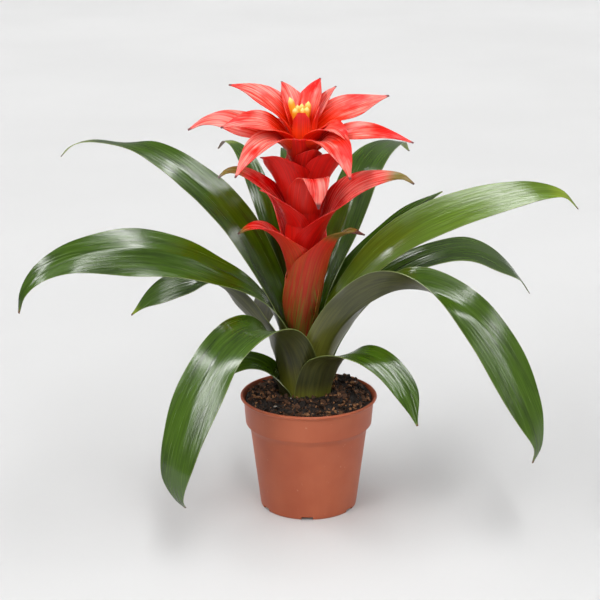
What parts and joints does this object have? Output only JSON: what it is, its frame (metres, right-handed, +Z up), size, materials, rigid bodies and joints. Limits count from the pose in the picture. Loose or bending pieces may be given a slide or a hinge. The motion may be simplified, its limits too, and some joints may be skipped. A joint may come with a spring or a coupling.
{
  "type": "potted bromeliad",
  "caption": "Bromeliad with arching strap leaves round a red flower spike with yellow florets, growing in a plain tapered plastic grower pot filled with bark soil.",
  "frame": {"origin": "middle of the pot's underside, where it stands", "axes": "+Z up, +X to the right and +Y to the back as the plant is seen from the front"},
  "size_m": [0.4834, 0.2996, 0.3745],
  "materials": {
    "pot_plastic": "semi-matt moulded terracotta-coloured plastic",
    "bark_soil": "rough moist peat with brown bark chips",
    "crown_green": "dull fibrous pale green",
    "leaf_green": "glossy leathery leaf with fine lengthwise veins",
    "bract_red": "glossy scarlet with pale lengthwise streaks",
    "floret_yellow": "waxy yellow, orange at the foot"
  },
  "bodies": {
    "root": {"pot": "pot_plastic", "soil": "bark_soil", "crown": "crown_green", "leaf_01": "leaf_green", "leaf_02": "leaf_green", "leaf_03": "leaf_green", "leaf_04": "leaf_green", "leaf_05": "leaf_green", "leaf_06": "leaf_green", "leaf_07": "leaf_green", "leaf_08": "leaf_green", "leaf_09": "leaf_green", "leaf_10": "leaf_green", "leaf_11": "leaf_green", "leaf_12": "leaf_green", "leaf_13": "leaf_green", "leaf_14": "leaf_green", "leaf_15": "leaf_green", "flower_stem": "bract_red", "flower_head": "bract_red", "florets": "floret_yellow"}
  },
  "joints": []
}
